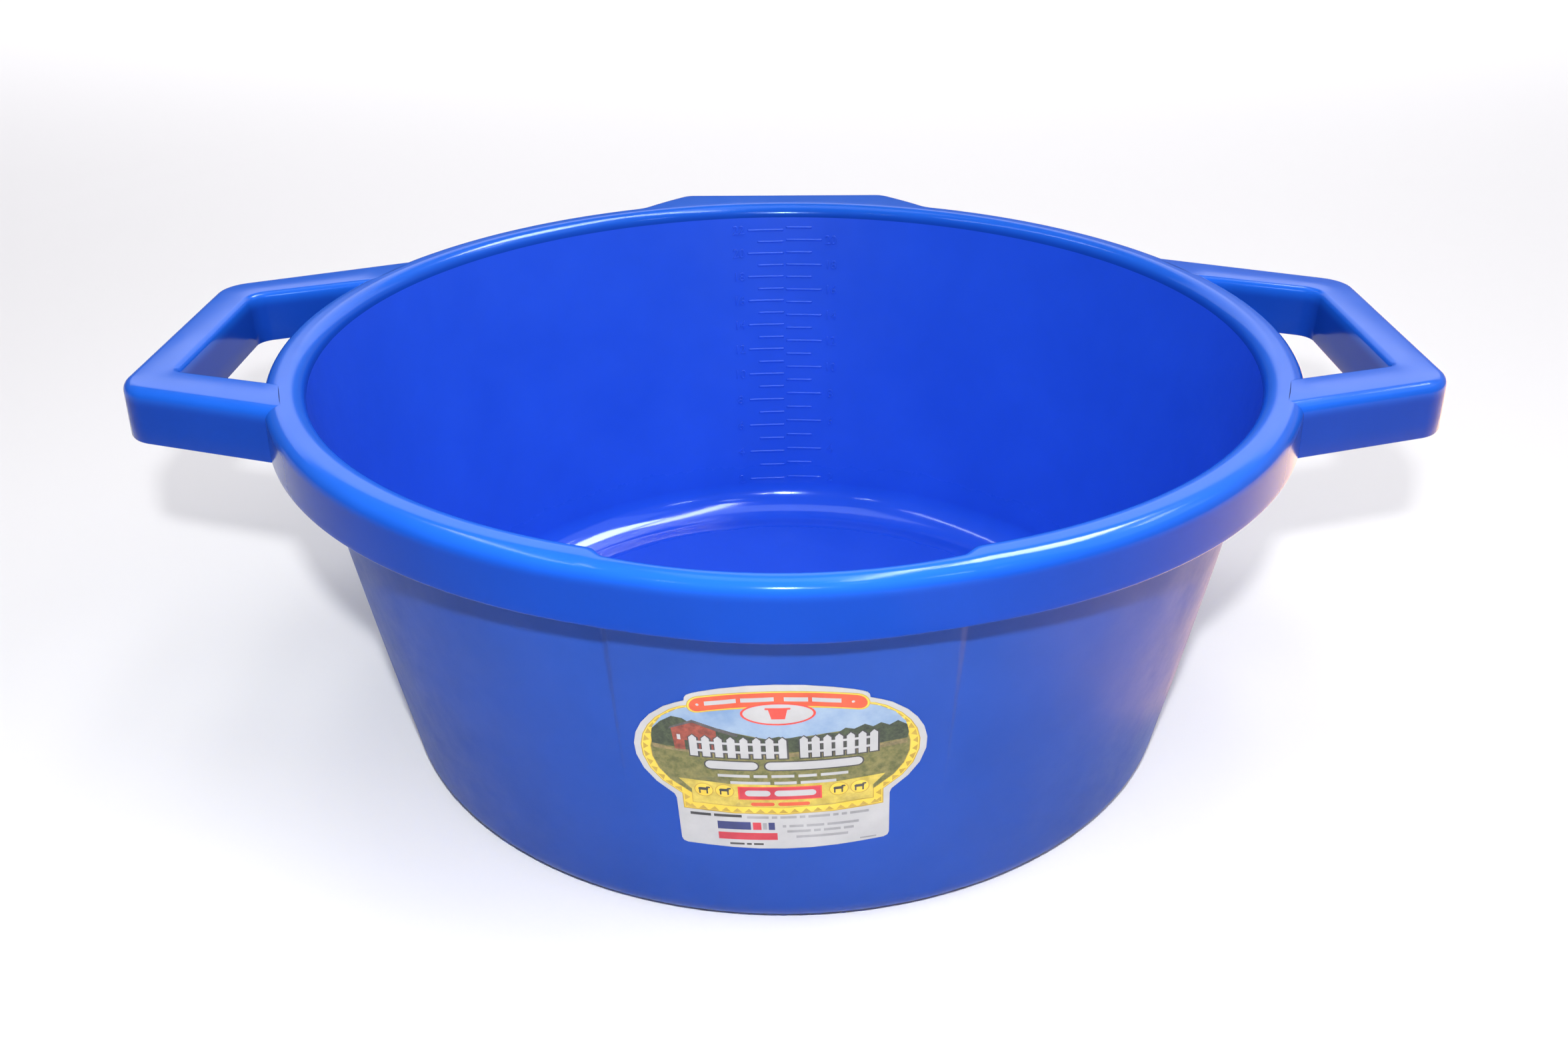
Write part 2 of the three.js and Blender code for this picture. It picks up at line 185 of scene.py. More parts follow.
def new_object(name, vertices, faces, sharp_angle=35):
    """An object from vertices in millimetres."""
    mesh = bpy.data.meshes.new(name)
    mesh.from_pydata([tuple(np.array(v) * MM) for v in vertices], [], faces)
    bm = bmesh.new()
    bm.from_mesh(mesh)
    bmesh.ops.remove_doubles(bm, verts=bm.verts, dist=1e-7)
    bmesh.ops.dissolve_degenerate(bm, edges=bm.edges, dist=1e-7)
    bmesh.ops.recalc_face_normals(bm, faces=bm.faces)
    bm.to_mesh(mesh)
    bm.free()
    return show(name, mesh, sharp_angle)


def bridge(rings, closed_rings, closed_loop):
    """Vertices and quads joining rings of equal length, in order."""
    count = len(rings[0])
    vertices = [point for ring in rings for point in ring]
    faces = []
    for i in range(len(rings) if closed_loop else len(rings) - 1):
        j = (i + 1) % len(rings)
        for k in range(count if closed_rings else count - 1):
            m = (k + 1) % count
            faces.append((i * count + k, j * count + k, j * count + m, i * count + m))
    return vertices, faces


def round_corner(before, corner, after, radius, steps):
    """Points and outward-turned normals of the arc that rounds a polygon's corner."""
    before, corner, after = (np.array(p, float) for p in (before, corner, after))
    u = (before - corner) / np.linalg.norm(before - corner)
    v = (after - corner) / np.linalg.norm(after - corner)
    half = math.acos(np.clip(u @ v, -1, 1)) / 2
    centre = corner + (u + v) / np.linalg.norm(u + v) * radius / math.sin(half)
    start = corner + u * radius / math.tan(half) - centre
    end = corner + v * radius / math.tan(half) - centre
    turn = math.atan2(start[0] * end[1] - start[1] * end[0], start @ end)
    points = []
    for i in range(steps + 1):
        a = turn * i / steps
        spoke = np.array([start[0] * math.cos(a) - start[1] * math.sin(a),
                          start[0] * math.sin(a) + start[1] * math.cos(a)])
        points.append((centre + spoke, spoke / radius * math.copysign(1, turn)))
    return points


# ---- The spout and the rim's outline ----


def spout_fade(z):
    """How much of the lip's reach the wall still has at a height."""
    return min(max((z - SPOUT_FOOT) / (HEIGHT - SPOUT_FOOT), 0), 1) ** 2


def spout_flat(z):
    """Half angle of the spout's channel inside its sides, at a height."""
    return SPOUT_SIDE - SPOUT_SIDE_FOOT - (SPOUT_SIDE_WIDTH - SPOUT_SIDE_FOOT) * spout_fade(z)


def column_azimuth(nominal, z):
    """Where a column of the mesh runs at a height: columns close up on the spout's narrowing sides."""
    a = abs(nominal)
    widest = SPOUT_SIDE - SPOUT_SIDE_WIDTH
    if a >= SPOUT_SIDE:
        return nominal
    if a <= widest:
        return nominal * spout_flat(z) / widest
    across = (a - widest) / SPOUT_SIDE_WIDTH
    return math.copysign(spout_flat(z) + across * (SPOUT_SIDE - spout_flat(z)), nominal)


def lip_reach(azimuth, z):
    """How far the spout moves the wall outwards at a place."""
    top = outer_radius(HEIGHT)
    centre = top + SPOUT_REACH - SPOUT_BOW_RADIUS
    a = math.radians(azimuth)
    bowed = centre * math.cos(a) + math.sqrt(max(SPOUT_BOW_RADIUS**2 - (centre * math.sin(a)) ** 2, 0))
    flat = spout_flat(z)
    side = 1 - smoothstep((abs(azimuth) - flat) / (SPOUT_SIDE - flat))
    return (bowed - top) * side * spout_fade(z) if side > 0 else 0.0


def surface_point(azimuth, radius, z):
    """A point of the wall, with the spout's reach added to its radius."""
    a = math.radians(azimuth)
    r = radius + lip_reach(azimuth, z)
    return np.array([r * math.sin(a), -r * math.cos(a), z])


def wall_point(nominal, radius, z):
    """The same, for a column of the mesh."""
    return surface_point(column_azimuth(nominal, z), radius, z)


def grip_outline():
    """Azimuths and radii of the rear grip's outline, from the rim's circle round to it again."""
    straight, root = GRIP_HALF
    root_y = math.sqrt(RIM_RADIUS**2 - root**2)
    lead = math.radians(GRIP_LEAD)
    turn = math.atan2(root, root_y)
    before = (RIM_RADIUS * math.sin(turn + lead), RIM_RADIUS * math.cos(turn + lead))
    corners = [before, (root, root_y), (straight, GRIP_REACH), (0, GRIP_REACH)]
    half = [np.array(before)]
    half += [p for p, _ in round_corner(*corners[:3], GRIP_CORNERS[1], 10)]
    half += [p for p, _ in round_corner(*corners[1:], GRIP_CORNERS[0], 10)]
    half += [np.array(p) for p in line(half[-1], corners[-1], 20)[1:]]
    points = half + [p * (-1, 1) for p in reversed(half[:-1])]
    angles = [math.degrees(math.atan2(p[0], p[1])) for p in points]
    return np.array(angles[::-1]), np.array([np.linalg.norm(p) for p in points[::-1]])


grip_angles, grip_radii = grip_outline()


def outline_radius(azimuth):
    """Distance from the axis to the rim's outline."""
    behind = (azimuth % 360) - 180  # from the rear, towards -X
    if abs(behind) < grip_angles[-1]:
        return max(float(np.interp(-behind, grip_angles, grip_radii)), RIM_RADIUS)
    across = min(abs((azimuth + 180) % 360 - 180) / SPOUT_SIDE, 1)
    return RIM_RADIUS + SPOUT_SWELL * math.cos(across * math.pi / 2) ** 2


def edge_point(azimuth, inset, z):
    """A point at a distance inside the rim's outline, measured square to the outline."""
    a = math.radians(azimuth)
    nudge = 0.15  # degrees
    before, here, after = (
        outline_radius(t) * np.array([math.sin(math.radians(t)), -math.cos(math.radians(t))])
        for t in (azimuth - nudge, azimuth, azimuth + nudge)
    )
    along = (after - before) / np.linalg.norm(after - before)
    x, y = here - inset * np.array([along[1], -along[0]])
    return np.array([x, y, z])


COLUMN_STEP = 1.25  # degrees
SIDE_COLUMNS = 10  # across each side of the spout
CORNER_COLUMNS = (11, 31, 0.5)  # first, last and step from the rear, in degrees


def azimuths():
    """The mesh's columns: even, and closer at the spout's sides and the rear grip's corners."""
    even = np.arange(-180, 180, COLUMN_STEP)
    side = np.linspace(SPOUT_SIDE - SPOUT_SIDE_WIDTH, SPOUT_SIDE, SIDE_COLUMNS)
    corner = 180 - np.arange(*CORNER_COLUMNS)
    columns = np.concatenate([even, side, -side, corner, -corner])
    return np.unique(np.round(columns, 3))


COLUMNS = azimuths()


# ---- The moulding's pieces ----


def bowl():
    """Floor, foot ring and wall in one skin, with a tongue that stands in the rim's underside."""
    outside = outer_radius(OUTER_CORNER) - OUTER_CORNER * slant
    inside = inner_radius(SKIN + INNER_CORNER) - INNER_CORNER * slant
    foot_inner = outside - FOOT_WIDTH
    near, far = STEP_RUN
    ledge = FOOT_RECESS - BREAK_DEPTH
    under = [
        (0, 0), (WITNESS - BREAK, 0), (WITNESS, WITNESS_DEPTH), (WITNESS + BREAK, 0),
        (GATE_PAD - BREAK, 0), (GATE_PAD, BREAK_DEPTH), (GATE_PAD + near, ledge),
        (GATE_PAD + far, FOOT_RECESS), (RECESS_RING, FOOT_RECESS),
        (foot_inner - far, FOOT_RECESS), (foot_inner - near, ledge), (foot_inner, BREAK_DEPTH),
        (foot_inner + BREAK, 0), (outside - FOOT_FLAT, 0),
    ]
    heights = np.concatenate([np.linspace(*rows) for rows in WALL_ROWS])
    rise = [(outer_radius(z), z) for z in heights]
    step_out, step_in = outer_radius(RIM_SEAM) - TONGUE, inner_radius(RIM_SEAM) + TONGUE
    tip = RIM_SEAM + TONGUE_HEIGHT
    tongue = [(step_out, RIM_SEAM), (step_out, tip), (step_in, tip), (step_in, RIM_SEAM)]
    fall = [(inner_radius(z), z) for z in heights[::-1]]
    fillet = arc(inside, SKIN + INNER_CORNER, INNER_CORNER, -wall_tilt, FILLET_END, 14)
    end_r, end_z = fillet[-1]
    slope = [(end_r - FLOOR_RAMP * t, end_z + (FLOOR_TOP - end_z) * smoothstep(t))
             for t in np.linspace(0.1, 1, 10)]
    floor = [(r, FLOOR_TOP) for r in FLOOR_RINGS]
    profile = (under + arc(outside, OUTER_CORNER, OUTER_CORNER, -90, -wall_tilt, 12) + rise + tongue
               + fall + fillet + slope + floor)
    rings = [[wall_point(a, r, z) for r, z in profile] for a in COLUMNS]
    return new_object("pan_bowl", *bridge(rings, False, True))


def is_satin(polygon):
    """True where the mould was textured: the bowl's outside and its underside, which also take the darker
    blue that is painted shade.
    """
    x, y, z = polygon.center / MM
    level = 0.4  # a face whose normal rises more steeply than this belongs to a floor or a fillet
    if abs(polygon.normal.z) > level:
        return polygon.normal.z < 0 and z < OUTER_CORNER
    return z < FOOT_RECESS or polygon.normal.x * x + polygon.normal.y * y > 0


def rim():
    """The flange with its lip, spout, skirt and rear grip, open underneath."""
    down = [(-SKIRT_FLARE * t, t) for t in np.linspace(0.12, 1, 8)]
    foot = arc(SKIRT_LIP, SKIRT_BOTTOM + SKIRT_LIP, SKIRT_LIP, 180, 270, 4)[1:]
    foot += arc(SKIN - SKIRT_INNER_LIP, SKIRT_BOTTOM + SKIRT_INNER_LIP, SKIRT_INNER_LIP, 270, 360, 3)
    foot = [(r - SKIRT_FLARE, z) for r, z in foot]
    ceiling = HEIGHT - SKIN
    corner = ceiling - CHANNEL_CORNER
    back = [(SKIN, corner)] + arc(SKIN + CHANNEL_CORNER, corner, CHANNEL_CORNER, 180, 90, 5)[1:]
    root_r = outer_radius(RIM_SEAM)
    root = arc(root_r + ROOT_CORNER, ceiling - ROOT_CORNER, ROOT_CORNER, 90, 180, 4)
    root += [(root_r, ceiling - ROOT_DROP), (root_r, RIM_SEAM)]
    rings = []
    for a in COLUMNS:
        loss = SPOUT_EDGE_LOSS * lip_reach(a, HEIGHT) / SPOUT_REACH
        edge, lip_edge = RIM_EDGE - loss / 2, LIP_EDGE - loss
        shoulder = HEIGHT - edge
        lip_r = inner_radius(HEIGHT - lip_edge) + lip_edge * slant
        lip = [(inner_radius(RIM_SEAM), RIM_SEAM)]
        lip += arc(lip_r, HEIGHT - lip_edge, lip_edge, 180 - wall_tilt, 90, 8)
        over = arc(edge, shoulder, edge, 90, 180, 12)
        skirt = [(r, shoulder + (SKIRT_BOTTOM + SKIRT_LIP - shoulder) * t) for r, t in down]
        inner = [wall_point(a, r, z) for r, z in lip]
        outer = [edge_point(a, inset, z) for inset, z in over + skirt + foot + back]
        under = [wall_point(a, r, z) for r, z in root]
        top = line(inner[-1], outer[0], 4)[1:-1]
        web = line(outer[-1], under[0], 3)[1:-1]
        rings.append(inner + top + outer + web + under)
    return new_object("rim_flange", *bridge(rings, True, True))


def rim_outside(z):
    """Radius of the rim's outer surface at a height, over its edge rounding."""
    above = z - (HEIGHT - RIM_EDGE)
    if above <= 0:
        return RIM_RADIUS
    return RIM_RADIUS - RIM_EDGE + math.sqrt(max(RIM_EDGE**2 - above**2, 0))


def handle_section():
    """The handle's section, as (side, inset, z) along its skin and along its hollow, point for point.

    Side 0 is measured from the loop's outer outline and side 1 from the finger gap's.
    """
    foot = HANDLE_BOTTOM
    top = HEIGHT

    def side_chain(side):
        edge = HANDLE_EDGES[side]
        shoulder = top - edge
        skin = [(side, HANDLE_LIP * inset, foot + HANDLE_LIP * up) for inset, up in LIP_STEPS]
        hollow = [(side, SKIN - short, foot + up) for short, up in HOLLOW_LIP]
        hollow.append((side, SKIN, foot + HANDLE_LIP))
        for t in SIDE_ROWS:
            z = foot + HANDLE_LIP + (shoulder - foot - HANDLE_LIP) * t
            skin.append((side, HANDLE_DRAFT * t, z))
            hollow.append((side, SKIN + HANDLE_DRAFT * t, min(z, top - SKIN - HOLLOW_ROOM + t)))
        inner = HOLLOW_CORNER
        for a in np.radians(np.linspace(0, 90, 8))[1:]:
            skin.append((side, HANDLE_DRAFT + edge - edge * math.cos(a), shoulder + edge * math.sin(a)))
            hollow.append((side, SKIN + HANDLE_DRAFT + inner - inner * math.cos(a),
                           top - SKIN - inner + inner * math.sin(a)))
        return skin, hollow

    outer_skin, outer_hollow = side_chain(0)
    inner_skin, inner_hollow = side_chain(1)
    return outer_skin + inner_skin[::-1], outer_hollow + inner_hollow[::-1]


def handle_tracks():
    """Matching stations along the loop's outline and the finger gap's: [(point, normal into the handle)]."""
    tracks = []
    for corners, radii, into in ((HANDLE_LOOP, LOOP_CORNERS, -1), (HANDLE_GAP, GAP_CORNERS, 1)):
        a, b, c, d = corners
        first = round_corner(a, b, c, radii[0], 14)
        second = round_corner(b, c, d, radii[1], 14)
        (p, normal), q = first[-1], second[0][0]
        grip = [(p + (q - p) * t, normal) for t in FIFTHS]
        tracks.append([(p, n * into) for p, n in first + grip + second])
    return tracks


def to_rim(point, direction, z):
    """Follows a line in plan from a point to just inside the rim's outer surface at a height."""
    radius = rim_outside(z) - (RIM_BITE if z < HEIGHT - FLUSH else 0.0)
    b = point @ direction
    reach = -b - math.sqrt(max(b * b - point @ point + radius**2, 0))
    return point + direction * reach


def handle(name, side):
    """A loop handle, swept along its outlines and run straight into the rim at both ends."""
    skin, hollow = handle_section()
    section = skin + hollow[::-1]
    tracks = handle_tracks()
    rings = []
    for station in range(len(tracks[0])):
        ring = []
        for which, inset, z in section:
            point, normal = tracks[which][station]
            ring.append(np.array([*(point + normal * inset), z]))
        rings.append(ring)
    leads = []
    for end, (outline_a, outline_b) in ((0, (0, 1)), (-1, (3, 2))):
        directions = []
        for outline in (HANDLE_LOOP, HANDLE_GAP):
            run = np.array(outline[outline_a], float) - np.array(outline[outline_b], float)
            directions.append(run / np.linalg.norm(run))
        landed = [np.array([*to_rim(p[:2], directions[which], z), z])
                  for p, (which, _, z) in zip(rings[end], section)]
        leads.append([[a + (b - a) * t for a, b in zip(landed, rings[end])] for t in (0, *FIFTHS)])
    rings = leads[0] + rings + leads[1][::-1]
    rings = [[p * (side, 1, 1) for p in ring] for ring in rings]
    vertices, faces = bridge(rings, True, False)
    count = len(section)
    half = len(skin)
    for start in (0, (len(rings) - 1) * count):
        for k in range(half - 1):
            faces.append((start + k, start + k + 1, start + count - 2 - k, start + count - 1 - k))
    return new_object(name, vertices, faces)


# ---- The graduations ----

QUART = 946352.9  # cubic millimetres
LITRE = 1e6
MARKS = ((QUART, 2, 22, -1), (LITRE, 2, 21, 1))  # unit, first, last, side
LONG_TICK = 21.5
SHORT_TICK = 15.5
TICK = 1.3  # height of a tick on the wall
RELIEF = 0.45
TICK_ROOT = -0.6  # a tick starts this far behind the wall's surface
TICK_SHAPE = ((-1, 0), (-0.8, 0.75), (-0.4, 1), (0.4, 1), (0.8, 0.75), (1, 0))  # up it, and out from the wall
TICK_END = ((0, 0.3), (0.25, 0.8), (0.7, 1))  # how it grows in from an end: distance, size
TICK_START = 0.7  # from the scale's centre line
NUMBER_HEIGHT = 5.0
NUMBER_START = 24.5
NUMBER_HALF = 3
CAP_HEIGHT = 0.7  # of the typeface, to its size
NUMBER_ROOT = 0.25  # how far a digit is set in the wall
NUMBER_BEVEL = 0.12
NUMBER_THINNING = -0.05
FILL_STEP = 0.25  # thickness of the slices in which the bowl's volume is added up


def level_at(volume):
    """Height to which a volume fills the pan, with its fillet and spout left out."""
    z, filled = FLOOR_TOP, 0.0
    while filled < volume:
        filled += math.pi * inner_radius(z) ** 2 * FILL_STEP
        z += FILL_STEP
    return z


def rear_point(x, z, height):
    """A point raised from the rear of the inner wall: x across it, z up it."""
    return surface_point(180 - math.degrees(x / inner_radius(z)), inner_radius(z) - height, z)


def tick(start, end, z):
    """A raised bar with soft edges, as closed rings of points across its length."""
    low, high = sorted((start, end))
    stations = [(low + inwards, size) for inwards, size in TICK_END]
    stations += [(low + (high - low) * t, 1) for t in (0.25, 0.5, 0.75)]
    stations += [(high - inwards, size) for inwards, size in reversed(TICK_END)]
    rings = []
    for x, size in stations:
        half = TICK / 2 * (0.6 + 0.4 * size)
        outline = [(half * up, RELIEF * out * size) for up, out in TICK_SHAPE]
        outline = [(-half, TICK_ROOT)] + outline + [(half, TICK_ROOT)]
        rings.append([rear_point(x, z + up, raised) for up, raised in outline])
    return rings


def numeral(text, x, z):
    """Vertices and faces of a raised number, centred on a place of the rear wall."""
    curve = bpy.data.curves.new("numeral", "FONT")
    curve.body = text
    curve.size = NUMBER_HEIGHT / CAP_HEIGHT
    curve.extrude = RELIEF / 2 + 0.2
    curve.bevel_depth = NUMBER_BEVEL
    curve.offset = NUMBER_THINNING
    curve.align_x = "CENTER"
    curve.align_y = "CENTER"
    holder = bpy.data.objects.new("numeral", curve)
    mesh = bpy.data.meshes.new_from_object(holder)
    vertices = [rear_point(x + v.co.x, z + v.co.y, v.co.z + RELIEF / 2 - NUMBER_ROOT)
                for v in mesh.vertices]
    faces = [tuple(p.vertices) for p in mesh.polygons]
    bpy.data.objects.remove(holder)
    bpy.data.meshes.remove(mesh)
    return vertices, faces


def graduations():
    """Raised ticks and numbers up the rear of the inner wall: quarts on one side, litres on the other."""
    vertices, faces = [], []
    for unit, first, last, side in MARKS:
        for count in range(first, last + 1):
            z = level_at(count * unit)
            length = SHORT_TICK if count % 2 else LONG_TICK
            rings = tick(side * TICK_START, side * (TICK_START + length), z)
            points, polygons = bridge(rings, True, False)
            size, total = len(rings[0]), len(points)
            parts = [(points, polygons + [tuple(range(size)), tuple(range(total - size, total))])]
            if count % 2 == 0:
                parts.append(numeral(str(count), side * (NUMBER_START + NUMBER_HALF), z))
            for points, polygons in parts:
                base = len(vertices)
                vertices += points
                faces += [tuple(base + i for i in f) for f in polygons]
    return new_object("graduations", vertices, faces, sharp_angle=50)


# ---- The label ----

LABEL_HEIGHT = 90.0  # of its middle, above the foot
LABEL_SHIFT = -1.45
LABEL_TURN = 2.0  # degrees, as it was stuck on
LABEL_THICKNESS = 0.3
LABEL_CREASE = 40  # degrees
LABEL_BACK = 0.02  # clearance between the sticker's back and the wall
LABEL_MESH = 4.0

# the right half of the outline, from the top of the tab to the foot of the block: [(u, v)]
TAB = [(0, 46.4), (10, 45.8), (20, 43.8), (27, 41.6), (30.3, 40.2), (31.9, 39.2), (32.7, 37.9), (32.9, 36.3)]
OVAL = [(36.5, 34.6), (41.0, 32.0), (46.9, 26.6), (50.6, 21.5), (53.2, 16.0), (54.5, 10.0), (54.3, 4.0),
        (52.0, -3.0), (47.6, -9.2), (43.3, -13.0), (41.2, -14.9)]
BLOCK = [(40.5, -17), (40.4, -39.6), (39.8, -41.2), (38.2, -42.0), (30, -42.3), (20, -42.8), (10, -43.2),
         (0, -43.3)]
BANNER_HALF, BANNER_MIDDLE, BANNER_ARCH = 31.6, 39.0, 5.2  # of the red capsule at the top


def mirrored(half):
    """A closed outline from its right half, which starts and ends on the centre line."""
    return half + [(-u, v) for u, v in reversed(half[1:-1])]


def capsule(centre_u, centre_v, half, thick, arch=0.0):
    """A bar with round ends, bent so that its ends drop by arch."""
    steps = 24
    radius = thick / 2
    points = [(-half + radius + (2 * half - thick) * i / (steps - 1), radius) for i in range(steps)]
    ends = np.radians(range(20, 180, 20))
    points += [(half - radius + radius * math.sin(a), radius * math.cos(a)) for a in ends]
    points += [(-u, -v) for u, v in points[:steps]]
    points += [(radius - half - radius * math.sin(a), -radius * math.cos(a)) for a in ends]
    return [(centre_u + u, centre_v + v - arch * (u / half) ** 2) for u, v in points]


def ellipse(centre_u, centre_v, half_u, half_v, steps=40):
    """A closed oval."""
    return [(centre_u + half_u * math.cos(a), centre_v + half_v * math.sin(a))
            for a in np.linspace(0, 2 * math.pi, steps, endpoint=False)]


def bar(left, right, low, high):
    """A straight block, with points along it close enough to follow the wall's curve."""
    across = np.linspace(left, right, max(2, int((right - left) / 3) + 1))
    return [(u, low) for u in across] + [(u, high) for u in across[::-1]]


def words(ink, left, right, low, high, lengths, gap):
    """A row of plain blocks, one to a word, that fills a width like a line of print."""
    regions = []
    unit = (right - left - gap * (len(lengths) - 1)) / sum(lengths)
    u = left
    for n in lengths:
        regions.append((ink, bar(u, u + n * unit, low, high)))
        u += n * unit + gap
    return regions


def picket_fence(left, right, low, high):
    """White pickets with pointed tops, nailed to two rails, with a dark edge behind them."""
    width, spacing = 2.9, 4.4
    count = round((right - left - width) / spacing) + 1
    pitch = (right - left - width) / (count - 1)
    front, behind = [], []
    for rail in (0.28, 0.68):
        v = low + (high - low) * rail
        front.append(bar(left, right, v - 0.6, v + 0.6))
        behind.append(bar(left - 0.2, right + 0.6, v - 1.2, v + 0.8))
    for i in range(count):
        u = left + i * pitch
        front.append([(u, low), (u + width, low), (u + width, high - 1.6), (u + width / 2, high),
                      (u, high - 1.6)])
        behind.append([(x + dx, v + dv) for (x, v), (dx, dv) in zip(front[-1], (
            (-0.4, -0.6), (0.7, -0.6), (0.7, 0.2), (0.1, 0.6), (-0.4, 0.2)))])
    return [("ink", polygon) for polygon in behind] + [("paper", polygon) for polygon in front]


def teeth(ring, inset, size):
    """Triangles standing along a closed outline."""
    points = [np.array(p, float) for p in ring]
    lengths = [np.linalg.norm(b - a) for a, b in zip(points, points[1:] + points[:1])]
    total = sum(lengths)
    stations = np.cumsum([0] + lengths)

    def at(distance):
        distance %= total
        i = min(int(np.searchsorted(stations, distance, "right")) - 1, len(points) - 1)
        a, b = points[i], points[(i + 1) % len(points)]
        t = (distance - stations[i]) / lengths[i]
        normal = np.array([b[1] - a[1], a[0] - b[0]]) / lengths[i]
        return a + (b - a) * t, normal

    count = int(total / size)
    half = size * 0.42
    foot = 0.4  # how far inside the outline a tooth stands
    triangles = []
    for i in range(count):
        middle = total * i / count
        left, n0 = at(middle - half)
        right, n1 = at(middle + half)
        tip, n = at(middle)
        triangles.append([left + n0 * foot, right + n1 * foot, tip + n * inset])
    return triangles


def label_art():
    """The sticker's regions in painting order, as (ink, polygon) in its own flat (u, v)."""
    regions = [("paper", mirrored(TAB + OVAL + BLOCK))]

    def frame_line(inset, foot):
        """The oval frame and its square foot, set in from the sticker's edge."""
        squeeze = (54.5 - inset) / 54.5
        sides = [(u * squeeze, 9 + (v - 9) * squeeze) for u, v in OVAL[:-2]]
        block = 40.4 - 2.7 - (inset - 3)
        side_foot = sides[-1][1] - (sides[-1][0] - block) * 0.8
        crown = [(0, 37), (12, 36.9), (24, 36.4)]
        base = [(block, side_foot), (block, foot), (block / 2, foot - 1.0), (0, foot - 1.5)]
        return mirrored(crown + sides + base)

    outer = frame_line(3.0, -21.8)
    inner = frame_line(6.6, -18.2)
    regions += [("gold", frame_line(2.6, -22.3)), ("yellow", outer)]
    regions += [("gold", t) for t in teeth(outer, 2.6, 4.3)]
    regions += [("gold", frame_line(6.3, -18.5)), ("grass", inner)]

    sky = [(-46.5, 19.5), (-46, 21), (-42, 27), (-36, 31.5), (-24, 36.2), (0, 36.8), (24, 36.2), (36, 31.5),
           (42, 27), (46, 21), (46.5, 19.0)]
    ridge = [(36.9, 20.4), (27.1, 20.9), (17.4, 20.1), (7.6, 18.7), (-4.5, 18.1), (-16.5, 21.2),
             (-26.1, 23.9), (-36, 20)]
    regions.append(("sky", sky + ridge))
    trees = [(-47.3, 15.5), (-46.6, 19.5), (-43, 24), (-38.5, 27.5), (-34.5, 27.0), (-31.5, 24.6),
             (-26.1, 23.9), (-21, 22.9), (-16.5, 21.2), (-10, 19.0), (-4.5, 18.1), (0, 19.4), (2.5, 18.2),
             (7.6, 19.3), (12, 18.6), (17.4, 20.1), (21, 19.6), (24, 22.0), (27.1, 20.9), (31, 22.8),
             (34, 20.9), (36.9, 22.4), (40, 20.4), (43.1, 22.0), (46.6, 19.0), (47.4, 14.6), (46.8, 11.8),
             (20, 11.0), (-10, 10.8), (-39.7, 11.4), (-47.2, 11.8)]
    regions.append(("trees", trees))
    regions.append(("olive", [(-47.3, 11.8), (-39.7, 10.6), (-10, 10.2), (20, 10.4), (46.9, 11.4),
                              (46.9, 9.0), (20, 8.2), (-10, 8.4), (-47.2, 9.4)]))
    regions += [("barn", [(-38.6, 10.4), (-39.2, 21.3), (-31, 25.6), (-22.6, 22.0), (-22.6, 10.2)]),
                ("roof", [(-40.2, 20.6), (-39.6, 21.8), (-31, 26.6), (-14.5, 20.2), (-15.2, 18.9),
                          (-22.6, 21.6), (-31, 25.2)]),
                ("trees", bar(-34.6, -31.0, 10.4, 15.5)), ("paper", bar(-37.3, -36.0, 15.5, 18.2))]
    straw = [(0, -7.2), (20, -6.8), (38.8, -5.6), (34.1, -11.0), (34.1, -18.2), (17, -19.2), (0, -19.7)]
    regions.append(("straw", mirrored(straw)))

    regions += [("gold", capsule(0.3, 39.0, 32.6, 8.5, 5.3)), ("yellow", capsule(0.3, 39.0, 32.3, 7.9, 5.3)),
                ("banner", capsule(0.3, BANNER_MIDDLE, BANNER_HALF, 6.9, BANNER_ARCH))]
    for start, end in ((-25.6, -14.2), (-12.6, -0.9), (2.6, 11.0), (12.4, 22.6)):
        middle, half = (start + end) / 2, (end - start) / 2
        tilt = -2 * BANNER_ARCH * middle / BANNER_HALF**2
        drop = BANNER_ARCH * (middle / BANNER_HALF) ** 2
        regions.append(("paper", [(u, v + tilt * (u - middle) - drop)
                                  for u, v in bar(middle - half, middle + half, 37.9, 40.0)]))
    for u in (-28.2, 26.8):
        v = BANNER_MIDDLE - BANNER_ARCH * (u / BANNER_HALF) ** 2
        regions.append(("paper", ellipse(u, v, 0.6, 0.6, 10)))
    regions += [("red", ellipse(0.2, 31.3, 13.4, 5.9)), ("paper", ellipse(0.2, 31.3, 12.5, 5.1)),
                ("red", [(-3.2, 33.6), (3.6, 33.6), (2.6, 28.6), (-2.2, 28.6)]),
                ("red", capsule(0.2, 34.0, 4.6, 1.0))]

